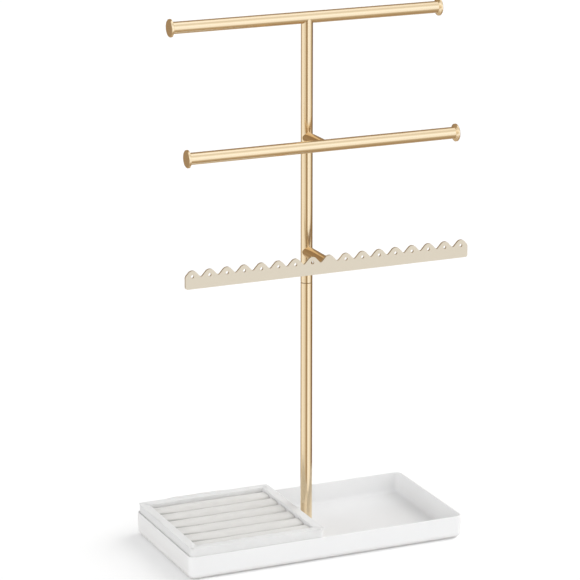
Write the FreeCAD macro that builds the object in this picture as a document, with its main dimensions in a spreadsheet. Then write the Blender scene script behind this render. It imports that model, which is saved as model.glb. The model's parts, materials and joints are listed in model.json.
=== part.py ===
import FreeCAD, Part
import math
import os
import re
import Sketcher

# Jewelry stand, in millimetres. +Z is up, the bars run along X and the front faces -Y.
# The origin lies on the post's axis, at the level that the foot pads stand on.

SIZES = (
    # Tray: one pressed sheet with a raised seat for the post
    ("tray_length", "203"),
    ("tray_width", "101"),
    ("tray_height", "16.1"),
    ("tray_sheet", "1"),
    ("tray_corner_radius", "5"),
    ("tray_bottom_radius", "4"),
    ("tray_rim_radius", "0.35"),
    ("post_offset", "5.3"),
    ("seat_diameter", "14.8"),
    ("seat_draft", "0.8"),
    ("seat_rise", "3.2"),
    ("seat_edge_radius", "0.5"),
    # Foot pads
    ("pad_diameter", "10"),
    ("pad_thickness", "0.6"),
    ("pad_chamfer", "0.2"),
    ("pad_inset", "14"),
    # Fasteners inside the post
    ("thread_diameter", "4"),
    ("thread_gap", "0.08"),
    ("plug_gap", "0.05"),
    ("screw_length", "14"),
    ("screw_tip", "0.6"),
    ("screw_head_diameter", "8"),
    ("screw_head_height", "2.4"),
    ("screw_head_chamfer", "0.7"),
    ("recess_length", "4.4"),
    ("recess_width", "1"),
    ("recess_depth", "1.3"),
    ("washer_diameter", "9"),
    ("washer_thickness", "0.8"),
    ("insert_length", "16"),
    ("stud_length", "9"),
    ("stud_tip", "0.6"),
    # Post, bars and standoffs
    ("tube_diameter", "8"),
    ("tube_wall", "1"),
    ("weld_gap", "0.05"),
    ("seam_height", "182.2"),
    ("seam_chamfer", "0.25"),
    ("top_bar_height", "363.7"),
    ("mid_bar_height", "282.7"),
    ("mid_bar_reach", "28"),
    ("bar_length", "196"),
    ("standoff_relief", "0.4"),
    # Bar end caps
    ("cap_diameter", "12"),
    ("cap_thickness", "2.4"),
    ("cap_flare", "1"),
    ("cap_chamfer", "0.4"),
    ("spigot_length", "8"),
    # Earring plate
    ("plate_lift", "15.5"),
    ("plate_reach", "37"),
    ("plate_thickness", "1.5"),
    ("plate_rise", "12.4"),
    ("plate_end", "5"),
    ("plate_corner_radius", "1.5"),
    ("plate_shoulder_radius", "2.6"),
    ("plate_standoff_rise", "6.1"),
    ("scallop_count", "17"),
    ("scallop_pitch", "12.25"),
    ("scallop_depth", "4.4"),
    ("bump_radius", "3.6"),
    ("valley_radius", "1.2"),
    ("earring_hole_diameter", "2.2"),
    ("earring_hole_drop", "3.9"),
    # Ring tray
    ("box_gap", "0.5"),
    ("box_seat_gap", "1.2"),
    ("box_height", "20.9"),
    ("box_wall", "5.6"),
    ("box_corner_radius", "3.2"),
    ("box_edge_radius", "0.9"),
    ("velvet", "0.6"),
    ("bottom_sheet", "2"),
    ("bottom_sheet_inset", "3.6"),
    ("base_board", "2"),
    # Ring rolls
    ("roll_count", "6"),
    ("roll_gap", "0.3"),
    ("roll_height", "15.6"),
    ("roll_crown", "5"),
    ("roll_end_drop", "0.5"),
    ("roll_end_draw", "0.4"),
    # Cutting and picking
    ("overrun", "1"),
    ("pick_gap", "0.001"),
)
NAMES = {name for name, number in SIZES}

# Formulas that several pieces share, written in the sheet's names
TUBE_RADIUS = "tube_diameter / 2"
BORE_RADIUS = "(tube_diameter / 2 - tube_wall)"
PLUG_RADIUS = "(tube_diameter / 2 - tube_wall - plug_gap)"
THREAD_RADIUS = "thread_diameter / 2"
TAPPED_RADIUS = "(thread_diameter / 2 + thread_gap)"
SADDLE_RADIUS = "(tube_diameter / 2 + weld_gap)"
STANDOFF_RADIUS = "(tube_diameter / 2 - standoff_relief / 2)"
BAR_TUBE_LENGTH = "(bar_length - 2 * cap_thickness)"
FLOOR = "(pad_thickness + tray_sheet)"
SEAT = "(pad_thickness + tray_sheet + seat_rise)"
SEAT_RADIUS = "seat_diameter / 2"
SCREW_HEAD = "(pad_thickness + seat_rise - washer_thickness - screw_head_height)"
PLATE_FOOT = "(seam_height + plate_lift)"
SCALLOP_SPAN = "(scallop_count - 1) * scallop_pitch"
PLATE_HALF = f"({SCALLOP_SPAN} / 2 + plate_end)"
BOX_RIGHT = f"({SEAT_RADIUS} + box_seat_gap)"
BOX_LENGTH = f"(tray_length / 2 + post_offset - tray_sheet - box_gap - {BOX_RIGHT})"
BOX_WIDTH = "(tray_width - 2 * tray_sheet - 2 * box_gap)"
BOX_MIDDLE = f"(-{BOX_RIGHT} - {BOX_LENGTH} / 2)"
BOARD = "(box_wall - 2 * velvet)"
CORE_LENGTH = f"({BOX_LENGTH} - 2 * velvet)"
CORE_WIDTH = f"({BOX_WIDTH} - 2 * velvet)"
WALL_FOOT = f"({FLOOR} + bottom_sheet + base_board)"
WALL_RISE = "(box_height - bottom_sheet - base_board - velvet)"
ROLL_PITCH = f"(({BOX_WIDTH} - 2 * box_wall - roll_gap) / roll_count)"
ROLL_LENGTH = f"({BOX_LENGTH} - 2 * box_wall - 2 * roll_gap)"

UNIT = 1.0
FULL_TURN = 360
HALF_TURN = 180
X_WAY = FreeCAD.Vector(1, 0, 0)
Y_WAY = FreeCAD.Vector(0, 1, 0)
Z_WAY = FreeCAD.Vector(0, 0, 1)

doc = FreeCAD.newDocument("jewelry_stand")
sheet = doc.addObject("Spreadsheet::Sheet", "Sizes")
for row, (name, number) in enumerate(SIZES, start=1):
    sheet.set(f"A{row}", name)
    sheet.set(f"B{row}", number)
    sheet.setAlias(f"B{row}", name)
doc.recompute()
pieces = []


# Sheet, bodies and sketches

def size(name):
    """The number that the sheet holds under a name."""
    return float(getattr(sheet, name))


def bind(item, path, formula):
    """Bind a property to a formula written in the sheet's names."""
    def cell(word):
        return "Sizes." + word[0] if word[0] in NAMES else word[0]
    item.setExpression(path, re.sub(r"[a-z]\w*", cell, formula))


def new_body(label, x="0", y="0", z="0"):
    """An empty body whose place is three formulas; its label names its file."""
    body = doc.addObject("PartDesign::Body", label)
    body.Label = label
    for axis, place in zip("xyz", (x, y, z)):
        bind(body, f"Placement.Base.{axis}", place)
    pieces.append(body)
    return body


def origin(body, role):
    """One of the body's own origin planes or axes."""
    return next(item for item in body.Origin.OriginFeatures if item.Role == role)


def sketch(body, plane, x="0", y="0", z="0"):
    """A sketch on an origin plane, shifted along its own three directions."""
    item = body.newObject("Sketcher::SketchObject", body.Label + "_sketch")
    item.AttachmentSupport = [(origin(body, plane), "")]
    item.MapMode = "FlatFace"
    for axis, place in zip("xyz", (x, y, z)):
        bind(item, f"AttachmentOffset.Base.{axis}", place)
    return item


def dimension(item, formula, kind, *points):
    """A driving dimension of a sketch, bound to a formula."""
    mark = item.addConstraint(Sketcher.Constraint(kind, *points, UNIT))
    bind(item, f"Constraints[{mark}]", formula)


def fix(item, kind, *points):
    item.addConstraint(Sketcher.Constraint(kind, *points))


def circle(item, radius):
    """A circle on the sketch's origin."""
    ring = item.addGeometry(Part.Circle(FreeCAD.Vector(), Z_WAY, UNIT), False)
    fix(item, "Coincident", ring, 3, -1, 1)
    dimension(item, radius, "Radius", ring)


def closed_lines(item, corners):
    """Lines from corner to corner and back to the first."""
    ends = corners[1:] + corners[:1]
    lines = [item.addGeometry(Part.LineSegment(a, b), False) for a, b in zip(corners, ends)]
    for here, after in zip(lines, lines[1:] + lines[:1]):
        fix(item, "Coincident", here, 2, after, 1)
    return lines


def rectangle(item, width, height):
    """A rectangle centred on the sketch's origin."""
    corners = [FreeCAD.Vector(x, y) for x, y in ((-1, -1), (1, -1), (1, 1), (-1, 1))]
    low, right, high, left = closed_lines(item, corners)
    for line in (low, high):
        fix(item, "Horizontal", line)
    for line in (left, right):
        fix(item, "Vertical", line)
    fix(item, "Symmetric", low, 1, right, 2, -1, 1)
    dimension(item, width, "DistanceX", low, 1, low, 2)
    dimension(item, height, "DistanceY", right, 1, right, 2)


def polygon(item, corners):
    """A closed outline whose corners are pairs of formulas, from the sketch's origin."""
    turns = [2 * math.pi * i / len(corners) for i in range(len(corners))]
    lines = closed_lines(item, [FreeCAD.Vector(math.cos(a), math.sin(a)) for a in turns])
    for line, (x, y) in zip(lines, corners):
        for kind, axis, distance in (("DistanceX", -2, x), ("DistanceY", -1, y)):
            if distance == "0":
                fix(item, "PointOnObject", line, 1, axis)
            else:
                dimension(item, distance, kind, -1, 1, line, 1)


# Features

def pad(body, profile, length, reverse=False, both_ways=False):
    item = body.newObject("PartDesign::Pad", body.Label + "_pad")
    item.Profile = profile
    item.SideType = "Symmetric" if both_ways else "One side"
    item.Reversed = reverse
    bind(item, "Length", length)
    doc.recompute()
    return item


def pocket(body, profile, depth=None, reverse=False):
    """Cut a profile to a depth, or right through both ways if no depth is given."""
    before = body.Tip.Shape.Volume
    item = body.newObject("PartDesign::Pocket", body.Label + "_pocket")
    item.Profile = profile
    item.Reversed = reverse
    if depth is None:
        item.Type = "ThroughAll"
        item.SideType = "Symmetric"
    else:
        bind(item, "Length", depth)
    doc.recompute()
    if not item.Shape.Volume < before:
        raise ValueError(body.Label + ": a pocket cuts nothing")
    return item


def turned(body, profile, axis, kind="Revolution"):
    """A full turn of a profile about one of its sketch's axes, added or cut."""
    item = body.newObject("PartDesign::" + kind, body.Label + "_turn")
    item.Profile = profile
    item.ReferenceAxis = (profile, [axis])
    item.Angle = FULL_TURN
    doc.recompute()
    return item


def picked(shapes, word, wanted):
    """Names of the edges or faces that a test picks."""
    names = [f"{word}{i}" for i, shape in enumerate(shapes, start=1) if wanted(shape)]
    if not names:
        raise ValueError("no " + word + " was picked")
    return names


def near(a, b):
    return abs(a - b) < size("pick_gap")


def soften(body, kind, path, amount, wanted):
    """Fillet or chamfer the picked edges of the body's last feature."""
    base = body.Tip
    names = picked(base.Shape.Edges, "Edge", wanted)
    item = body.newObject("PartDesign::" + kind, body.Label + "_" + kind.lower())
    item.Base = (base, names)
    bind(item, path, amount)
    doc.recompute()
    return item


def fillet(body, radius, wanted):
    return soften(body, "Fillet", "Radius", radius, wanted)


def chamfer(body, amount, wanted):
    return soften(body, "Chamfer", "Size", amount, wanted)


def row_of(body, feature, count, spacing, reverse=False):
    """Repeat a feature along X."""
    item = body.newObject("PartDesign::LinearPattern", body.Label + "_row")
    item.Originals = [feature]
    item.Direction = (origin(body, "X_Axis"), [""])
    item.Reversed = reverse
    item.Mode = "Spacing"
    bind(item, "Offset", spacing)
    bind(item, "Occurrences", count)
    body.Tip = item
    doc.recompute()
    return item


def upright(edge):
    """Is the edge parallel to Z?"""
    return near(edge.BoundBox.XLength, 0) and near(edge.BoundBox.YLength, 0)


def at_level(edge, z):
    return near(edge.BoundBox.ZMin, z) and near(edge.BoundBox.ZMax, z)


# Tray and what stands under it

def make_tray():
    """A pressed tray of even thickness, with a drawn-up seat for the post."""
    body = new_body("tray", x="-post_offset", z="pad_thickness")
    blank = sketch(body, "XY_Plane")
    rectangle(blank, "tray_length", "tray_width")
    pad(body, blank, "tray_height")
    fillet(body, "tray_corner_radius", upright)
    fillet(body, "tray_bottom_radius", lambda edge: at_level(edge, 0))
    base = body.Tip
    top = size("tray_height")
    shell = body.newObject("PartDesign::Thickness", "tray_shell")
    shell.Base = (base, picked(base.Shape.Faces, "Face", lambda face: at_level(face, top)))
    shell.Reversed = True
    shell.Join = "Intersection"
    bind(shell, "Value", "tray_sheet")
    doc.recompute()
    fillet(body, "tray_rim_radius", lambda edge: at_level(edge, top))

    boss = sketch(body, "XZ_Plane", x="post_offset")
    polygon(boss, [("0", "0"), (SEAT_RADIUS, "0"), (SEAT_RADIUS, "tray_sheet"),
                   (f"{SEAT_RADIUS} - seat_draft", "tray_sheet + seat_rise"),
                   ("0", "tray_sheet + seat_rise")])
    turned(body, boss, "V_Axis")
    seat_top = size("tray_sheet") + size("seat_rise")
    fillet(body, "seat_edge_radius", lambda edge: at_level(edge, seat_top))

    hollow = sketch(body, "XZ_Plane", x="post_offset", y="-overrun")
    polygon(hollow, [("0", "0"), (f"{SEAT_RADIUS} - tray_sheet", "0"),
                     (f"{SEAT_RADIUS} - tray_sheet", "overrun"),
                     (f"{SEAT_RADIUS} - tray_sheet - seat_draft", "overrun + seat_rise"),
                     ("0", "overrun + seat_rise")])
    turned(body, hollow, "V_Axis", "Groove")

    screw_hole = sketch(body, "XY_Plane", x="post_offset")
    circle(screw_hole, TAPPED_RADIUS)
    pocket(body, screw_hole)


def make_foot_pads():
    """Four round non-slip pads under the tray's corners."""
    for row, y in (("front", "-(tray_width / 2 - pad_inset)"), ("rear", "tray_width / 2 - pad_inset")):
        for side, sign in (("left", "-"), ("right", "+")):
            x = f"-post_offset {sign} (tray_length / 2 - pad_inset)"
            body = new_body(f"foot_pad_{row}_{side}", x=x, y=y)
            face = sketch(body, "XY_Plane")
            circle(face, "pad_diameter / 2")
            pad(body, face, "pad_thickness")
            chamfer(body, "pad_chamfer", lambda edge: at_level(edge, 0))


def make_base_screw():
    """Pan-head screw with a cross recess, driven up through the tray's seat."""
    body = new_body("base_screw", z=SCREW_HEAD)
    head = "screw_head_diameter / 2"
    tip = "screw_head_height + screw_length"
    side = sketch(body, "XZ_Plane")
    polygon(side, [("0", "0"), (f"{head} - screw_head_chamfer", "0"), (head, "screw_head_chamfer"),
                   (head, "screw_head_height"), (THREAD_RADIUS, "screw_head_height"),
                   (THREAD_RADIUS, f"{tip} - screw_tip"), (f"{THREAD_RADIUS} - screw_tip", tip),
                   ("0", tip)])
    turned(body, side, "V_Axis")
    for width, height in (("recess_length", "recess_width"), ("recess_width", "recess_length")):
        slot = sketch(body, "XY_Plane")
        rectangle(slot, width, height)
        pocket(body, slot, "recess_depth", reverse=True)


def make_ring(label, outer, inner, length, z):
    """A round sleeve on the post's axis."""
    body = new_body(label, z=z)
    face = sketch(body, "XY_Plane")
    circle(face, outer)
    circle(face, inner)
    pad(body, face, length)
    return body


# Post

def make_lower_post():
    """Lower tube on the tray's seat, with a threaded insert at each end."""
    length = f"seam_height - {SEAT}"
    body = make_ring("lower_post_tube", TUBE_RADIUS, BORE_RADIUS, length, SEAT)
    rise = body.Shape.BoundBox.ZMax
    outer = size("tube_diameter")
    chamfer(body, "seam_chamfer", lambda edge: at_level(edge, rise - body.Placement.Base.z)
            and near(edge.BoundBox.XLength, outer))
    make_ring("lower_post_foot_insert", PLUG_RADIUS, TAPPED_RADIUS, "insert_length", SEAT)
    make_ring("lower_post_top_insert", PLUG_RADIUS, TAPPED_RADIUS, "insert_length",
              "seam_height - insert_length")


def make_upper_post():
    """Upper tube, coped to the top bar, and the stud plug that screws it to the lower tube."""
    body = make_ring("upper_post_tube", TUBE_RADIUS, BORE_RADIUS,
                     "top_bar_height - seam_height", "seam_height")
    outer = size("tube_diameter")
    chamfer(body, "seam_chamfer", lambda edge: at_level(edge, 0)
            and near(edge.BoundBox.XLength, outer))
    cope = sketch(body, "YZ_Plane", y="top_bar_height - seam_height")
    circle(cope, SADDLE_RADIUS)
    pocket(body, cope)

    stud = new_body("upper_post_stud", z="seam_height - stud_length")
    side = sketch(stud, "XZ_Plane")
    end = "stud_length + insert_length"
    polygon(side, [("0", "0"), (f"{THREAD_RADIUS} - stud_tip", "0"), (THREAD_RADIUS, "stud_tip"),
                   (THREAD_RADIUS, "stud_length"), (PLUG_RADIUS, "stud_length"),
                   (PLUG_RADIUS, end), ("0", end)])
    turned(stud, side, "V_Axis")


# Bars

def make_bar(name, y, z):
    """A tube along X with a flared cap pressed into each end."""
    tube = new_body(f"{name}_tube", y=y, z=z)
    face = sketch(tube, "YZ_Plane")
    circle(face, TUBE_RADIUS)
    circle(face, BORE_RADIUS)
    pad(tube, face, BAR_TUBE_LENGTH, both_ways=True)

    rim = "cap_diameter / 2"
    for side, sign, turn in (("left", "-", HALF_TURN), ("right", "+", 0)):
        start = f"0 {sign} ({BAR_TUBE_LENGTH} / 2 - spigot_length)"
        cap = new_body(f"{name}_{side}_cap", x=start, y=y, z=z)
        cap.Placement.Rotation = FreeCAD.Rotation(Z_WAY, turn)
        half = sketch(cap, "XY_Plane")
        end = "spigot_length + cap_thickness"
        polygon(half, [("0", "0"), (end, "0"), (end, f"{rim} - cap_chamfer"),
                       (f"{end} - cap_chamfer", rim), ("spigot_length + cap_flare", rim),
                       ("spigot_length", TUBE_RADIUS), ("spigot_length", PLUG_RADIUS),
                       ("0", PLUG_RADIUS)])
        turned(cap, half, "H_Axis")


def make_standoff(label, length, z):
    """A round rod from the post towards the front, coped to the post."""
    body = new_body(label, z=z)
    face = sketch(body, "XZ_Plane")
    circle(face, STANDOFF_RADIUS)
    pad(body, face, length)
    post = sketch(body, "XY_Plane")
    circle(post, SADDLE_RADIUS)
    pocket(body, post)
    return body


def make_mid_standoff():
    """The mid bar's standoff, coped to the bar as well."""
    body = make_standoff("mid_bar_standoff", "mid_bar_reach", "mid_bar_height")
    bar = sketch(body, "YZ_Plane", x="-mid_bar_reach")
    circle(bar, SADDLE_RADIUS)
    pocket(body, bar)


# Earring plate

def scallop_outline(item):
    """One scallop, from valley to valley: a round bump, two straight flanks, two half valleys."""
    half = size("scallop_pitch") / 2
    bump, valley = size("bump_radius"), size("valley_radius")
    low = size("plate_rise") - size("scallop_depth")
    bump_middle = FreeCAD.Vector(0, size("plate_rise") - bump)
    valley_middle = FreeCAD.Vector(half, low + valley)
    across = valley_middle - bump_middle
    lean = math.atan2(across.y, across.x) - math.asin((bump + valley) / across.Length)
    out = FreeCAD.Vector(-math.sin(lean), math.cos(lean))
    flank_top, flank_foot = bump_middle + out * bump, valley_middle - out * valley
    quarter, half_circle, down = math.pi / 2, math.pi, 3 * math.pi / 2

    def mirrored(point):
        return FreeCAD.Vector(-point.x, point.y)

    def arc(middle, radius, start, end):
        round_edge = Part.Circle(middle, Z_WAY, radius)
        return item.addGeometry(Part.ArcOfCircle(round_edge, start, end), False)

    def line(start, end):
        return item.addGeometry(Part.LineSegment(start, end), False)

    crown = arc(bump_middle, bump, quarter + lean, quarter - lean)
    flank = line(flank_top, flank_foot)
    dip = arc(valley_middle, valley, down + lean, down)
    side = line(FreeCAD.Vector(half, low), FreeCAD.Vector(half, 0))
    foot = line(FreeCAD.Vector(half, 0), FreeCAD.Vector(-half, 0))
    far_side = line(FreeCAD.Vector(-half, 0), FreeCAD.Vector(-half, low))
    far_dip = arc(mirrored(valley_middle), valley, down, down - lean)
    far_flank = line(mirrored(flank_foot), mirrored(flank_top))

    for pair in ((crown, 1, flank, 1), (flank, 2, dip, 1), (far_dip, 2, far_flank, 1),
                 (far_flank, 2, crown, 2)):
        fix(item, "Tangent", *pair)
    for pair in ((dip, 2, side, 1), (side, 2, foot, 1), (foot, 2, far_side, 1),
                 (far_side, 2, far_dip, 1)):
        fix(item, "Coincident", *pair)
    fix(item, "Vertical", side)
    fix(item, "Vertical", far_side)
    fix(item, "Vertical", dip, 3, dip, 2)
    fix(item, "Vertical", far_dip, 3, far_dip, 1)
    fix(item, "PointOnObject", crown, 3, -2)
    fix(item, "PointOnObject", side, 2, -1)
    fix(item, "Symmetric", side, 2, far_side, 1, -2)
    fix(item, "Horizontal", side, 1, far_side, 2)
    fix(item, "Equal", dip, far_dip)
    dimension(item, "bump_radius", "Radius", crown)
    dimension(item, "valley_radius", "Radius", dip)
    dimension(item, "scallop_pitch", "DistanceX", far_side, 1, side, 2)
    dimension(item, "plate_rise - bump_radius", "DistanceY", -1, 1, crown, 3)
    dimension(item, "plate_rise - scallop_depth", "DistanceY", side, 2, side, 1)


def make_earring_plate():
    """A thin plate with a scalloped top and a hole under each bump but the middle one."""
    body = new_body("earring_plate", y="-(plate_reach - plate_thickness)", z=PLATE_FOOT)
    first = sketch(body, "XZ_Plane", x=f"-({SCALLOP_SPAN}) / 2")
    scallop_outline(first)
    row_of(body, pad(body, first, "plate_thickness"), "scallop_count", "scallop_pitch")

    waste = "scallop_pitch"
    for sign in "-+":
        end = sketch(body, "XZ_Plane", x=f"0 {sign} ({PLATE_HALF} + {waste} / 2)", y="plate_rise / 2")
        rectangle(end, waste, "plate_rise + 2 * overrun")
        pocket(body, end)

    side_holes = "(scallop_count - 1) / 2"
    for sign, reverse in (("-", False), ("+", True)):
        hole = sketch(body, "XZ_Plane", x=f"0 {sign} {SCALLOP_SPAN} / 2", y="plate_rise - earring_hole_drop")
        circle(hole, "earring_hole_diameter / 2")
        row_of(body, pocket(body, hole), side_holes, "scallop_pitch", reverse)

    half = (size("scallop_count") - 1) * size("scallop_pitch") / 2 + size("plate_end")

    def end_edge(edge):
        box = edge.BoundBox
        return near(box.XLength, 0) and near(box.ZLength, 0) and near(abs(box.XMin), half)

    fillet(body, "plate_corner_radius", lambda edge: end_edge(edge) and at_level(edge, 0))
    fillet(body, "plate_shoulder_radius", lambda edge: end_edge(edge)
           and edge.BoundBox.ZMin > size("plate_rise") / 2)


# Ring tray

def make_bottom_sheet():
    """Sheet under the ring tray that covers the folded edges of the velvet."""
    body = new_body("ring_tray_bottom_sheet", x=BOX_MIDDLE, z=FLOOR)
    face = sketch(body, "XY_Plane")
    rectangle(face, f"{BOX_LENGTH} - 2 * bottom_sheet_inset", f"{BOX_WIDTH} - 2 * bottom_sheet_inset")
    pad(body, face, "bottom_sheet")
    fillet(body, "box_corner_radius", upright)


def make_boards():
    """Base board and four wall boards, the stiff core of the ring tray."""
    base = new_body("ring_tray_base_board", x=BOX_MIDDLE, z=f"{FLOOR} + bottom_sheet")
    face = sketch(base, "XY_Plane")
    rectangle(face, CORE_LENGTH, CORE_WIDTH)
    pad(base, face, "base_board")
    chamfer(base, "box_corner_radius - velvet", upright)

    long_shift = f"({CORE_WIDTH} - {BOARD}) / 2"
    short_shift = f"({CORE_LENGTH} - {BOARD}) / 2"
    for side, sign in (("front", "-"), ("rear", "+")):
        wall = new_body(f"ring_tray_{side}_board", x=BOX_MIDDLE, y=f"0 {sign} {long_shift}", z=WALL_FOOT)
        face = sketch(wall, "XY_Plane")
        rectangle(face, CORE_LENGTH, BOARD)
        pad(wall, face, WALL_RISE)
        outward = -1 if side == "front" else 1
        chamfer(wall, "box_corner_radius - velvet", lambda edge: upright(edge)
                and edge.BoundBox.YMin * outward > 0)
    for side, sign in (("left", "-"), ("right", "+")):
        wall = new_body(f"ring_tray_{side}_board", x=f"{BOX_MIDDLE} {sign} {short_shift}", z=WALL_FOOT)
        face = sketch(wall, "XY_Plane")
        rectangle(face, BOARD, f"{CORE_WIDTH} - 2 * {BOARD}")
        pad(wall, face, WALL_RISE)


def make_velvet_wrap():
    """The velvet skin: outside, over the top edge and down the inside of the wall boards."""
    body = new_body("ring_tray_velvet_wrap", x=BOX_MIDDLE, z=FLOOR)
    walls = sketch(body, "XY_Plane", z="bottom_sheet")
    rectangle(walls, BOX_LENGTH, BOX_WIDTH)
    rectangle(walls, f"{BOX_LENGTH} - 2 * box_wall", f"{BOX_WIDTH} - 2 * box_wall")
    pad(body, walls, "box_height - bottom_sheet")
    half = body.Shape.BoundBox.YLength / 2
    core = half - size("velvet")
    top = size("box_height")

    slot = sketch(body, "XY_Plane", z="bottom_sheet")
    rectangle(slot, CORE_LENGTH, CORE_WIDTH)
    rectangle(slot, f"{CORE_LENGTH} - 2 * {BOARD}", f"{CORE_WIDTH} - 2 * {BOARD}")
    pocket(body, slot, "box_height - bottom_sheet - velvet", reverse=True)
    fillet(body, "box_corner_radius - velvet",
           lambda edge: upright(edge) and near(abs(edge.BoundBox.YMin), core))

    floor = sketch(body, "XY_Plane", z="bottom_sheet")
    rectangle(floor, f"{CORE_LENGTH} - 2 * velvet", f"{CORE_WIDTH} - 2 * velvet")
    pocket(body, floor, "base_board", reverse=True)

    fillet(body, "box_corner_radius", lambda edge: upright(edge) and near(abs(edge.BoundBox.YMin), half))
    fillet(body, "box_edge_radius", lambda edge: at_level(edge, top))


def roll_section(body, x, width, side, crown):
    """Section of a ring roll: flat foot, upright sides and one round crown."""
    item = sketch(body, "YZ_Plane", z=x)
    peak, spring = size("roll_height"), size("roll_crown")
    heel, toe = FreeCAD.Vector(-peak, 0), FreeCAD.Vector(peak, 0)
    far_spring, near_spring = FreeCAD.Vector(-peak, spring), FreeCAD.Vector(peak, spring)
    foot = item.addGeometry(Part.LineSegment(heel, toe), False)
    near_side = item.addGeometry(Part.LineSegment(toe, near_spring), False)
    top = item.addGeometry(Part.Arc(near_spring, FreeCAD.Vector(0, peak), far_spring), False)
    far_side = item.addGeometry(Part.LineSegment(far_spring, heel), False)
    for pair in ((foot, 2, near_side, 1), (near_side, 2, top, 1), (top, 2, far_side, 1),
                 (far_side, 2, foot, 1)):
        fix(item, "Coincident", *pair)
    fix(item, "Horizontal", foot)
    fix(item, "Vertical", near_side)
    fix(item, "Vertical", far_side)
    fix(item, "Symmetric", foot, 1, foot, 2, -1, 1)
    fix(item, "Horizontal", near_side, 2, far_side, 1)
    dimension(item, width, "DistanceX", foot, 1, foot, 2)
    dimension(item, side, "DistanceY", near_side, 1, near_side, 2)
    radius = f"(({width}) ^ 2 / 4 + ({crown}) ^ 2) / (2 * ({crown}))"
    dimension(item, f"{side} + {crown} - {radius}", "DistanceY", -1, 1, top, 3)
    return item


def make_ring_rolls():
    """Soft rolls side by side; each is crowned, and drawn in and lower at its two ends."""
    full = f"({ROLL_PITCH} - roll_gap)"
    side = "(roll_height - roll_crown)"
    drawn = (f"{full} - 2 * roll_end_draw", f"{side} - roll_end_drop", "roll_crown")
    plain = (full, side, "roll_crown")
    reach = f"({ROLL_LENGTH} / 2)"
    stations = ((f"-{reach}", drawn), ("0", plain), (reach, drawn))
    count = int(size("roll_count"))
    for i in range(count):
        y = f"{i - (count - 1) / 2} * {ROLL_PITCH}"
        body = new_body(f"ring_roll_{i + 1}", x=BOX_MIDDLE, y=y, z=WALL_FOOT)
        sections = [roll_section(body, x, *shape) for x, shape in stations]
        loft = body.newObject("PartDesign::AdditiveLoft", f"ring_roll_{i + 1}_loft")
        loft.Profile = sections[0]
        loft.Sections = sections[1:]
        doc.recompute()


def write_parts():
    """Check every object of the document, then write one STEP file for each piece."""
    doc.recompute()
    broken = [item.Label for item in doc.Objects if {"Invalid", "Error"} & set(item.State)]
    if broken:
        raise ValueError("failed objects: " + ", ".join(broken))
    for piece in pieces:
        if piece.Shape.isNull() or not piece.Shape.isValid() or len(piece.Shape.Solids) != 1:
            raise ValueError(piece.Label + " is not one valid solid")
    os.makedirs("parts", exist_ok=True)
    for piece in pieces:
        piece.Shape.exportStep(f"parts/{piece.Label}.step")


make_tray()
make_foot_pads()
make_base_screw()
make_ring("base_washer", "washer_diameter / 2", TAPPED_RADIUS, "washer_thickness",
          "pad_thickness + seat_rise - washer_thickness")
make_lower_post()
make_upper_post()
make_bar("top_bar", "0", "top_bar_height")
make_bar("mid_bar", "-mid_bar_reach", "mid_bar_height")
make_mid_standoff()
make_standoff("plate_standoff", "plate_reach - plate_thickness", f"{PLATE_FOOT} + plate_standoff_rise")
make_earring_plate()
make_bottom_sheet()
make_boards()
make_velvet_wrap()
make_ring_rolls()
write_parts()
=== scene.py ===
import json
import math

import bmesh
import bpy
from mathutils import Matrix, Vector


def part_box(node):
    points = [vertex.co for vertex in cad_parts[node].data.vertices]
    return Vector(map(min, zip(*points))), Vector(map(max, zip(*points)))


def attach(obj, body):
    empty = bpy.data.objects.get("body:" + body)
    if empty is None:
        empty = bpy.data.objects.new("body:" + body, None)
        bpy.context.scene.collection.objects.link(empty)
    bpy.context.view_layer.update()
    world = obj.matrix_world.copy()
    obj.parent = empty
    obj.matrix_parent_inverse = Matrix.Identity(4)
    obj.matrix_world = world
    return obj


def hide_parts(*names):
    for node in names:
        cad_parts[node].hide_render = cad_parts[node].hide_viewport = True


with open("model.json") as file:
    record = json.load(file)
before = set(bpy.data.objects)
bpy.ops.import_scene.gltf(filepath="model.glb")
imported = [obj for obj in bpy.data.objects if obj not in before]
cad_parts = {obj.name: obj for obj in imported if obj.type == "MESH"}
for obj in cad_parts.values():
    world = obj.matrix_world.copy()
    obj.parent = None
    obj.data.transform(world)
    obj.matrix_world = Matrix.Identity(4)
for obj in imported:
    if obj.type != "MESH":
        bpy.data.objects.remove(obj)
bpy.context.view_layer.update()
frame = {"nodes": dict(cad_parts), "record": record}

NODES = frame["nodes"]
MM = 0.001


# Finishes: one class for a socket with arithmetic, one for a material being made

class Shade:
    """A value that varies over a surface: a node's output, with arithmetic on it."""

    def __init__(self, finish, socket):
        self.finish = finish
        self.socket = socket

    def math(self, operation, *values):
        numbers = dict(enumerate(values))
        return self.finish.node("ShaderNodeMath", {"operation": operation}, numbers)

    def __add__(self, other):
        return self.math("ADD", self, other)

    def __radd__(self, other):
        return self.math("ADD", other, self)

    def __sub__(self, other):
        return self.math("SUBTRACT", self, other)

    def __rsub__(self, other):
        return self.math("SUBTRACT", other, self)

    def __mul__(self, other):
        return self.math("MULTIPLY", self, other)

    def __rmul__(self, other):
        return self.math("MULTIPLY", other, self)


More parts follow.
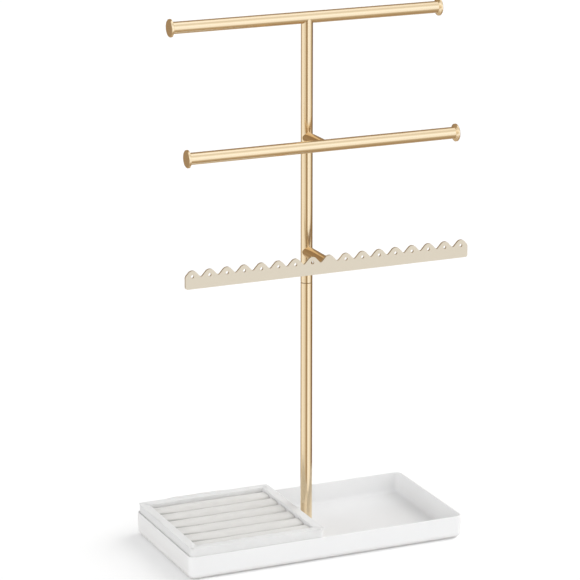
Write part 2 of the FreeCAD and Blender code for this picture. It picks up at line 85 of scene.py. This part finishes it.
class Nodes:
    """A node tree that is being made."""

    def __init__(self, tree):
        self.tree = tree

    def feed(self, socket, value):
        if isinstance(value, Shade):
            self.tree.links.new(value.socket, socket)
        else:
            socket.default_value = value

    def node(self, kind, settings=None, sockets=None, output=0):
        """Add a node: first its settings, then the values or links of its sockets."""
        node = self.tree.nodes.new(kind)
        for key, value in (settings or {}).items():
            if key == "stops":
                set_stops(node.color_ramp, value)
            else:
                setattr(node, key, value)
        for key, value in (sockets or {}).items():
            self.feed(node.inputs[key], value)
        return Shade(self, node.outputs[output])

    def step(self, value, start, end, first=0.0, last=1.0):
        """A smooth step from a first level to a last one."""
        return self.node("ShaderNodeMapRange", {"interpolation_type": "SMOOTHSTEP"},
                         {"Value": value, "From Min": start, "From Max": end,
                          "To Min": first, "To Max": last})

    def seen(self):
        """1 for what the camera, a reflection or a glass sees, 0 for light on the object."""
        path = self.tree.nodes.new("ShaderNodeLightPath")
        camera, glossy, through = (Shade(self, path.outputs[name]) for name in
                                   ("Is Camera Ray", "Is Glossy Ray", "Is Transmission Ray"))
        return camera.math("MAXIMUM", camera, glossy.math("MAXIMUM", glossy, through))


class Finish(Nodes):
    """A material: its Principled shader, and the nodes that feed it."""

    def __init__(self, name, **sockets):
        self.material = bpy.data.materials.new(name)
        self.material.use_nodes = True
        super().__init__(self.material.node_tree)
        self.shader = self.tree.nodes["Principled BSDF"]
        self.place = self.node("ShaderNodeTexCoord", output="Object")
        self.set(**sockets)

    def noise(self, scale, detail=2.0, stretch=(1, 1, 1), roughness=0.5):
        """Noise from 0 to 1, in cells per metre, stretched along the axes."""
        place = self.node("ShaderNodeMapping", None, {"Vector": self.place, "Scale": stretch})
        return self.node("ShaderNodeTexNoise", None, {"Vector": place, "Scale": scale, "Detail": detail,
                                                      "Roughness": roughness}, "Fac")

    def tone(self, amount, dark, light):
        """A colour between two, by an amount from 0 to 1."""
        return self.node("ShaderNodeMix", {"data_type": "RGBA"},
                         {0: amount, 6: (*dark, 1), 7: (*light, 1)}, 2)

    def relief(self, height, depth):
        """A bump whose full height is a depth in metres."""
        return self.node("ShaderNodeBump", None, {"Height": height, "Distance": depth, "Strength": 1.0})

    def set(self, **sockets):
        for socket, value in sockets.items():
            self.feed(self.shader.inputs[socket.replace("_", " ")], value)

    def along(self, axis):
        """The place along one axis."""
        return self.node("ShaderNodeSeparateXYZ", None, {"Vector": self.place}, axis)

    def paint_in_shade(self, amount, colour):
        """Mix a shade colour into the base colour so far, by an amount from 0 to 1, as painted shade."""
        plain = Shade(self, self.shader.inputs["Base Color"].links[0].from_socket)
        self.set(Base_Color=self.node("ShaderNodeMix", {"data_type": "RGBA"},
                                      {0: amount, 6: plain, 7: (*colour, 1)}, 2))


def set_stops(ramp, stops):
    """Give a colour ramp its stops: pairs of a place and a grey level, from its first place to its last."""
    ramp.elements[0].position, ramp.elements[1].position = stops[0][0], stops[-1][0]
    for place, level in stops:
        at_place = [element for element in ramp.elements if abs(element.position - place) < 1e-6]
        element = at_place[0] if at_place else ramp.elements.new(place)
        element.color = (level, level, level, 1)


def white_coat():
    """Satin white powder coat with a faint orange peel."""
    coat = Finish("white_coat", Specular_IOR_Level=0.35)
    peel = coat.noise(900, 3)
    cloud = coat.noise(28, 3)
    coat.set(Base_Color=coat.tone(cloud, (0.833, 0.835, 0.837), (0.873, 0.875, 0.877)),
             Roughness=0.40 + 0.12 * peel,
             Normal=coat.relief(peel, 0.00004))
    return coat.material


def gold(name, dark, light, stretch, roughness):
    """Satin gold plate with fine brushing along one direction."""
    plate = Finish(name, Metallic=1.0)
    brush = plate.noise(1, 3, stretch, 0.6)
    cloud = plate.noise(45, 3)
    plate.set(Base_Color=plate.tone(0.6 * brush + 0.4 * cloud, dark, light),
              Roughness=roughness + 0.05 * brush + 0.04 * cloud,
              Normal=plate.relief(brush, 0.000003))
    return plate


def gold_with_painted_seam_shade(name, dark, light, stretch, roughness, seam):
    """Gold of the post, with a fine line of painted shade where its two sections meet."""
    plate = gold(name, dark, light, stretch, roughness)
    height = plate.along("Z")
    off = height.math("ABSOLUTE", height - seam)
    # Painted shade: a thin dark line at the seam's height, where the two sections meet.
    plate.paint_in_shade(plate.step(off, 0.15 * MM, 0.5 * MM, 0.7, 0.0), (0.30, 0.20, 0.10))
    return plate


def velvet(name, dark, light):
    """Short-pile velvet: fine fibres, a soft nap that varies, and a pale sheen."""
    cloth = Finish(name, Sheen_Weight=0.35, Sheen_Roughness=0.4, Sheen_Tint=(1, 1, 1, 1),
                   Specular_IOR_Level=0.15)
    pile = cloth.noise(5200, 4, roughness=0.65)
    nap = cloth.noise(130, 4)
    cloth.set(Base_Color=cloth.tone(0.55 * pile + 0.45 * nap, dark, light),
              Roughness=0.85 + 0.12 * pile,
              Normal=cloth.relief(0.7 * pile + 0.3 * nap, 0.00022))
    return cloth


def velvet_with_painted_crease_shade(name, dark, light, crease_shade, pitch, left, right):
    """Velvet on rolls side by side, with painted shade in the grooves where two rolls meet, darkest at the
    left.
    """
    cloth = velvet(name, dark, light)
    across = cloth.along("Y")
    off = across.math("PINGPONG", across * (1 / pitch), 0.5)
    waver = cloth.noise(260, 2)
    painted_shade_fade = cloth.node("ShaderNodeMapRange", None, {"Value": cloth.along("X"), "From Min": left,
                                                   "From Max": right, "To Min": 0.8, "To Max": 0.25})
    # Painted shade: the grooves between rolls are darkened, fading from the left end towards the right.
    cloth.paint_in_shade(painted_shade_fade * cloth.step(off, 0.085, 0.14 + 0.05 * waver, 1.0, 0.0), crease_shade)
    return cloth


def zinc():
    plate = Finish("zinc_plate", Metallic=1.0)
    grain = plate.noise(1400, 3)
    plate.set(Base_Color=plate.tone(grain, (0.50, 0.51, 0.53), (0.68, 0.69, 0.70)),
              Roughness=0.28 + 0.2 * grain)
    return plate.material


def rubber():
    pad = Finish("pad_rubber", Specular_IOR_Level=0.25)
    grain = pad.noise(2200, 3)
    pad.set(Base_Color=pad.tone(grain, (0.60, 0.60, 0.59), (0.72, 0.72, 0.71)),
            Roughness=0.7 + 0.2 * grain, Normal=pad.relief(grain, 0.00005))
    return pad.material


def board():
    card = Finish("stiff_board", Specular_IOR_Level=0.2)
    fibre = card.noise(700, 5, (1, 3, 3), 0.7)
    card.set(Base_Color=card.tone(fibre, (0.42, 0.37, 0.30), (0.62, 0.56, 0.47)),
             Roughness=0.8 + 0.15 * fibre, Normal=card.relief(fibre, 0.00006))
    return card.material


def felt():
    cloth = Finish("thin_felt", Sheen_Weight=0.2, Specular_IOR_Level=0.1)
    hair = cloth.noise(2600, 5, roughness=0.7)
    cloth.set(Base_Color=cloth.tone(hair, (0.55, 0.55, 0.54), (0.72, 0.72, 0.71)),
              Roughness=0.9, Normal=cloth.relief(hair, 0.00015))
    return cloth.material


GOLD_DARK, GOLD_LIGHT = (0.82, 0.65, 0.42), (0.88, 0.72, 0.49)
# Painted shade: the standoff rods use the same gold, darkened for the shade they sit in.
ROD_SHADE_DARK, ROD_SHADE_LIGHT = (0.68, 0.48, 0.25), (0.76, 0.55, 0.31)
PALE_DARK, PALE_LIGHT = (0.66, 0.58, 0.45), (0.74, 0.66, 0.53)
ACROSS, ALONG = 9000, 60
TUBE_ROUGH, SHEET_ROUGH = 0.12, 0.30
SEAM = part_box("upper_post_tube")[0][2]
gold_post = gold_with_painted_seam_shade("satin_gold_post", GOLD_DARK, GOLD_LIGHT, (ACROSS, ACROSS, ALONG), TUBE_ROUGH,
                        SEAM).material
gold_bar = gold("satin_gold_bar", GOLD_DARK, GOLD_LIGHT, (ALONG, ACROSS, ACROSS), TUBE_ROUGH).material
shaded_rod_gold = gold("satin_gold_rod", ROD_SHADE_DARK, ROD_SHADE_LIGHT, (ACROSS, ALONG, ACROSS), TUBE_ROUGH).material
gold_sheet = gold("pale_gold_sheet", PALE_DARK, PALE_LIGHT, (ALONG, ACROSS, ACROSS), SHEET_ROUGH).material
wrap_velvet = velvet("wrap_velvet", (0.72, 0.72, 0.715), (0.86, 0.86, 0.855)).material
ROLL_LOW, ROLL_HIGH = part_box("ring_roll_1")
ROLL_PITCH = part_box("ring_roll_2")[0][1] - ROLL_LOW[1]
# The third colour is the painted shade in the grooves between the rolls.
roll_velvet = velvet_with_painted_crease_shade("roll_velvet", (0.66, 0.65, 0.63), (0.82, 0.81, 0.79), (0.40, 0.39, 0.375),
                             ROLL_PITCH, ROLL_LOW[0], ROLL_HIGH[0]).material
felt_sheet = felt()

BY_SLOT = {"white_coat": white_coat(), "satin_gold": gold_post, "pale_gold": gold_sheet,
           "zinc_steel": zinc(), "pad_rubber": rubber(), "velvet": wrap_velvet, "roll_velvet": roll_velvet,
           "board": board(), "felt": felt_sheet}
BY_NODE = {"top_bar_tube": gold_bar, "top_bar_left_cap": gold_bar, "top_bar_right_cap": gold_bar,
           "mid_bar_tube": gold_bar, "mid_bar_left_cap": gold_bar, "mid_bar_right_cap": gold_bar,
           "mid_bar_standoff": shaded_rod_gold, "plate_standoff": shaded_rod_gold}


def dress_nodes():
    """Give every CAD node its finish."""
    for part in frame["record"]["subparts"]:
        node = NODES[part["node"]]
        finish = BY_NODE.get(part["node"], BY_SLOT[part["material_slot"]])
        for slot in node.material_slots:
            slot.material = finish


# Modelling

def only(piece):
    """Select one piece alone and make it the active one."""
    bpy.ops.object.select_all(action="DESELECT")
    piece.select_set(True)
    bpy.context.view_layer.objects.active = piece


def add_block(name, low, high):
    """A block between two corners, as a start, with its place in its mesh."""
    bpy.ops.object.select_all(action="DESELECT")
    bpy.ops.mesh.primitive_cube_add(size=1, location=(low + high) / 2)
    piece = bpy.context.object
    piece.name = piece.data.name = name
    piece.scale = high - low
    bpy.ops.object.transform_apply(location=True, rotation=True, scale=True)
    return piece


def pick(piece, kind, wanted):
    """In edit mode, select the faces or edges that a test picks, and nothing else."""
    bpy.ops.mesh.select_mode(type=kind)
    bpy.ops.mesh.select_all(action="DESELECT")
    form = bmesh.from_edit_mesh(piece.data)
    for item in form.faces if kind == "FACE" else form.edges:
        if wanted(item):
            item.select_set(True)
    bmesh.update_edit_mesh(piece.data)


def run(edge):
    """How far an edge runs along each axis."""
    a, b = (vertex.co for vertex in edge.verts)
    return Vector((abs(a.x - b.x), abs(a.y - b.y), abs(a.z - b.z)))


def lowest(edge):
    return min(vertex.co.z for vertex in edge.verts)


def apply(piece, name, kind, **settings):
    """Add a modifier, set it and apply it."""
    only(piece)
    modifier = piece.modifiers.new(name, kind)
    for key, value in settings.items():
        setattr(modifier, key, value)
    bpy.ops.object.modifier_apply(modifier=name)


def rumple(piece, size, depth):
    """Small soft unevenness, as fabric covered by hand has."""
    cloud = bpy.data.textures.new(piece.name + "_cloud", "CLOUDS")
    cloud.noise_scale = size
    apply(piece, "rumple", "DISPLACE", texture=cloud, texture_coords="LOCAL", strength=depth, mid_level=0.5)


def keep_in(piece, low, high):
    """Keep every point between two corners."""
    for vertex in piece.data.vertices:
        for axis in range(3):
            vertex.co[axis] = min(max(vertex.co[axis], low[axis]), high[axis])


def swell(piece, pressure, cap, held):
    """Blow a closed form up with Cloth, held where a test says; no point moves further than the cap."""
    rest = [vertex.co.copy() for vertex in piece.data.vertices]
    group = piece.vertex_groups.new(name="held")
    group.add([vertex.index for vertex in piece.data.vertices if held(vertex.co)], 1.0, "REPLACE")
    only(piece)
    cloth = piece.modifiers.new("swell", "CLOTH")
    cloth.settings.vertex_group_mass = "held"
    cloth.settings.use_pressure = True
    cloth.settings.uniform_pressure_force = pressure
    cloth.settings.effector_weights.gravity = 0
    cloth.point_cache.frame_start = 1
    cloth.point_cache.frame_end = SWELL_FRAMES
    for number in range(1, SWELL_FRAMES + 1):
        bpy.context.scene.frame_set(number)
    bpy.ops.object.modifier_apply(modifier="swell")
    bpy.context.scene.frame_set(1)
    for vertex, start in zip(piece.data.vertices, rest):
        move = vertex.co - start
        if move.length > cap:
            vertex.co = start + move * (cap / move.length)


def finish_piece(piece, finish, body, slot, *nodes):
    """Smooth a piece, give it its finish, hang it on the body it rides on, and hide the CAD nodes it stands
    for.
    """
    only(piece)
    bpy.ops.object.shade_smooth_by_angle(angle=math.radians(50))
    piece.data.materials.clear()
    piece.data.materials.append(finish)
    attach(piece, body)
    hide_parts(*nodes)


# Ring rolls and the velvet frame round them

ROLL_COUNT = 6
SWELL_FRAMES = 20
SWELL_SCALE = 20


def corners(node):
    low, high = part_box(node)
    return Vector(low), Vector(high)


def make_ring_roll():
    """The front roll: foam under velvet, swollen by Cloth at twenty times its size, then shrunk."""
    low, high = (corner * SWELL_SCALE for corner in corners("ring_roll_1"))
    unit = MM * SWELL_SCALE
    low, high = low + Vector((-0.2, 0.35, 0)) * unit, high - Vector((-0.2, 0.35, 0.6)) * unit
    piece = add_block("ring_roll_pad_1", low, high)
    bpy.ops.object.mode_set(mode="EDIT")
    pick(piece, "EDGE", lambda edge: lowest(edge) > high.z - 0.1 * unit and run(edge).y < 0.1 * unit)
    bpy.ops.mesh.bevel(offset=3.4 * unit, segments=6, affect="EDGES")
    bpy.ops.object.mode_set(mode="OBJECT")
    piece.data.remesh_voxel_size = 0.9 * unit
    bpy.ops.object.voxel_remesh()

    def held(point):
        return point.z < low.z + 0.3 * unit or min(point.x - low.x, high.x - point.x) < 0.5 * unit

    swell(piece, 4.0, 0.8 * unit, held)
    apply(piece, "smooth", "SUBSURF", levels=1, render_levels=1)
    piece.scale = Vector((1, 1, 1)) / SWELL_SCALE
    only(piece)
    bpy.ops.object.transform_apply(location=True, rotation=True, scale=True)
    return piece


def copy_piece(piece, name, move):
    only(piece)
    bpy.ops.object.duplicate(linked=False)
    copy = bpy.context.object
    copy.name = copy.data.name = name
    copy.location = move
    bpy.ops.object.transform_apply(location=True, rotation=True, scale=True)
    return copy


def make_ring_rolls():
    """Six rolls side by side, each uneven in its own way."""
    first_low = corners("ring_roll_1")[0]
    rolls = [make_ring_roll()]
    for number in range(2, ROLL_COUNT + 1):
        move = corners(f"ring_roll_{number}")[0] - first_low
        rolls.append(copy_piece(rolls[0], f"ring_roll_pad_{number}", move))
    spare = Vector((0.25, 0.1, 0)) * MM
    for number, roll in enumerate(rolls, start=1):
        low, high = corners(f"ring_roll_{number}")
        rumple(roll, 0.012, 0.0004)
        keep_in(roll, low - spare, high + spare + Vector((0, 0, 0.2)) * MM)
        finish_piece(roll, roll_velvet, "ring_tray", "roll_velvet", f"ring_roll_{number}")


def make_wrap():
    """The velvet over the wall boards: outside, over the top and down the inside, mitred at the corners."""
    low, high = corners("ring_tray_velvet_wrap")
    board_low, board_high = corners("ring_tray_left_board")
    skin = board_low.x - low.x
    pile = Vector((0.2, 0.2, 0)) * MM
    low, high = low - pile, high + pile
    wall = board_high.x + skin - low.x
    tiny = 0.05 * MM
    piece = add_block("ring_tray_velvet", low, high)
    bpy.ops.object.mode_set(mode="EDIT")
    pick(piece, "FACE", lambda face: face.normal.z > 0.9)
    bpy.ops.mesh.inset(thickness=wall)
    bpy.ops.mesh.extrude_region_move(TRANSFORM_OT_translate={"value": (0, 0, board_low.z - high.z)})
    bpy.ops.mesh.delete(type="FACE")
    pick(piece, "FACE", lambda face: face.normal.z < -0.9)
    bpy.ops.mesh.delete(type="FACE")
    pick(piece, "EDGE", lambda edge: run(edge).z > tiny and on_outline(edge, low, high))
    bpy.ops.mesh.bevel(offset=3.6 * MM, segments=6, affect="EDGES")
    pick(piece, "EDGE", lambda edge: run(edge).z < tiny and on_mitre(edge, low, high))
    bpy.ops.mesh.bevel(offset=0.35 * MM, segments=2, affect="EDGES")
    pick(piece, "EDGE", lambda edge: lowest(edge) > high.z - tiny and on_mitre(edge, low, high))
    bpy.ops.transform.translate(value=(0, 0, -0.4 * MM))
    bpy.ops.object.mode_set(mode="OBJECT")
    apply(piece, "edges", "BEVEL", width=0.8 * MM, segments=3, limit_method="ANGLE",
          angle_limit=math.radians(75))
    apply(piece, "parts", "SUBSURF", subdivision_type="SIMPLE", levels=3, render_levels=3)
    rumple(piece, 0.02, 0.0001)
    apply(piece, "skin", "SOLIDIFY", thickness=skin, offset=-1)
    finish_piece(piece, wrap_velvet, "ring_tray", "velvet", "ring_tray_velvet_wrap")


def on_outline(edge, low, high):
    """Does an edge lie at an outer corner?"""
    return all(min(abs(vertex.co[axis] - low[axis]), abs(vertex.co[axis] - high[axis])) < 0.05 * MM
               for vertex in edge.verts for axis in (0, 1))


def on_mitre(edge, low, high):
    """Does an edge lie on the diagonal of one of the four corners?"""
    def off(point):
        x = min(point.x - low.x, high.x - point.x)
        y = min(point.y - low.y, high.y - point.y)
        return abs(x - y)
    return max(off(vertex.co) for vertex in edge.verts) < 0.05 * MM


def make_felt():
    """The thin felt under the ring tray."""
    low, high = corners("ring_tray_bottom_sheet")
    piece = add_block("ring_tray_felt", low, high)
    bpy.ops.object.mode_set(mode="EDIT")
    pick(piece, "EDGE", lambda edge: run(edge).z > 1 * MM)
    bpy.ops.mesh.bevel(offset=2 * MM, segments=4, affect="EDGES")
    bpy.ops.object.mode_set(mode="OBJECT")
    apply(piece, "edges", "BEVEL", width=0.4 * MM, segments=2, limit_method="ANGLE",
          angle_limit=math.radians(60))
    apply(piece, "parts", "SUBSURF", subdivision_type="SIMPLE", levels=3, render_levels=3)
    rumple(piece, 0.01, 0.0002)
    keep_in(piece, low, high)
    finish_piece(piece, felt_sheet, "ring_tray", "felt", "ring_tray_bottom_sheet")


# Stage

def add_plane(name, size, paint):
    bpy.ops.object.select_all(action="DESELECT")
    bpy.ops.mesh.primitive_plane_add(size=size)
    plane = bpy.context.object
    plane.name = name
    plane.data.materials.append(paint.material)
    return plane


def stage_floor():
    """A plain pale floor that keeps the shadow."""
    paint = Finish("floor_paint", Base_Color=(0.85, 0.85, 0.85, 1), Roughness=1.0, Specular_IOR_Level=0.0,
                   Emission_Strength=0.18)
    paint.set(Emission_Color=paint.tone(paint.seen(), (0, 0, 0), (1, 1, 1)))
    floor = add_plane("floor", 14, paint)
    floor.visible_glossy = False


# Levels that the metal sees of the studio, by the turn from the front in degrees
ROUND = ((-180, 0.3), (-165, 0.34), (-150, 0.5), (-134, 0.92), (-120, 1.05), (-97, 1.1), (-74, 0.98),
         (-53, 0.9), (-44, 0.8), (-36, 0.45), (-14, 0.36), (-7, 0.6), (0, 1.1), (8, 1.22), (26, 1.15),
         (48, 1.05), (60, 0.85), (75, 0.45), (95, 0.2), (125, 0.2), (156, 0.28), (180, 0.3))
# and by the rise above or the fall below the horizon, from 0 to 1
ABOVE = ((0, 1.25), (0.3, 1.25), (0.55, 1.05), (0.75, 0.86), (0.86, 1.0), (0.93, 1.25), (1, 1.25))
BELOW = ((0, 1.0), (0.35, 0.95), (0.6, 0.62), (0.85, 0.5), (1, 0.3))


def light_sky(level):
    """A white sky. The metal sees a studio in it: soft boxes at both sides of dark screens."""
    sky = bpy.data.worlds.new("studio")
    bpy.context.scene.world = sky
    sky.use_nodes = True
    nodes = Nodes(sky.node_tree)

    def ramp(amount, stops):
        scaled = [(place, value / 1.25) for place, value in stops]
        return 1.25 * nodes.node("ShaderNodeValToRGB", {"stops": scaled}, {"Fac": amount})

    def between(amount, first, second):
        return first + amount * (second - first)

    way = nodes.node("ShaderNodeTexCoord", output="Generated")
    x, y, z = (nodes.node("ShaderNodeSeparateXYZ", None, {"Vector": way}, axis) for axis in "XYZ")
    turn = x.math("ARCTAN2", x, -1 * y)
    around = ramp(0.5 + turn * (0.5 / math.pi), [(0.5 + turned / 360, value) for turned, value in ROUND])
    behind = nodes.step(y, 0.25, 0.55) * nodes.step(z, 0.9, 0.7)
    above = ramp(z, ABOVE) * (1 - 0.65 * behind)
    below = ramp(-1 * z, BELOW)
    shown = between(nodes.step(z, 0.0, 0.25), around, above)
    shown = between(nodes.step(z, -0.28, -0.6), shown, below)
    studio = nodes.node("ShaderNodeCombineColor", None,
                        {0: shown, 1: shown.math("POWER", shown, 1.3), 2: shown.math("POWER", shown, 1.75)})
    path = nodes.node("ShaderNodeLightPath", output="Is Glossy Ray")
    back = sky.node_tree.nodes["Background"]
    nodes.feed(back.inputs["Color"], nodes.node("ShaderNodeMix", {"data_type": "RGBA"},
                                                {0: path, 6: (1, 1, 1, 1), 7: studio}, 2))
    nodes.feed(back.inputs["Strength"], level + (1 - level) * nodes.seen())


def aim(item, place, target):
    item.location = place
    item.rotation_euler = (Vector(target) - Vector(place)).to_track_quat("-Z", "Y").to_euler()


def add_sun(name, place, strength, spread):
    lamp = bpy.data.lights.new(name, "SUN")
    lamp.energy = strength
    lamp.angle = math.radians(spread)
    item = bpy.data.objects.new(name, lamp)
    bpy.context.scene.collection.objects.link(item)
    item.visible_glossy = False
    aim(item, place, (0, 0, 0))


# Camera: degrees, millimetres, and the focal length in pixels of a square picture
CAMERA_TURN, CAMERA_RISE = -23.9, 15.76
CAMERA_TARGET, CAMERA_DISTANCE = (-12.24, 0, 177.89), 1959.19
SENSOR, FOCAL_PIXELS, PICTURE_PIXELS = 36, 2896.88, 580


def place_camera():
    """The photograph's view: turned to the left, a little from above, through a long lens."""
    turn, rise = math.radians(CAMERA_TURN), math.radians(CAMERA_RISE)
    target = Vector(CAMERA_TARGET) * MM
    back = Vector((math.sin(turn) * math.cos(rise), -math.cos(turn) * math.cos(rise), math.sin(rise)))
    data = bpy.data.cameras.new("camera")
    data.sensor_width = SENSOR
    data.lens = SENSOR * FOCAL_PIXELS / PICTURE_PIXELS
    data.clip_end = 50
    camera = bpy.data.objects.new("camera", data)
    bpy.context.scene.collection.objects.link(camera)
    aim(camera, target + back * CAMERA_DISTANCE * MM, target)
    bpy.context.scene.camera = camera


dress_nodes()
make_ring_rolls()
make_wrap()
make_felt()
stage_floor()
light_sky(0.48)
add_sun("key", (0.8, -0.05, 0.62), 2.15, 70)
add_sun("fill", (-0.95, -0.25, 0.12), 1.55, 50)
add_sun("front", (0, -0.97, 0.2), 0.7, 60)
place_camera()
bpy.context.scene.view_settings.view_transform = "Standard"
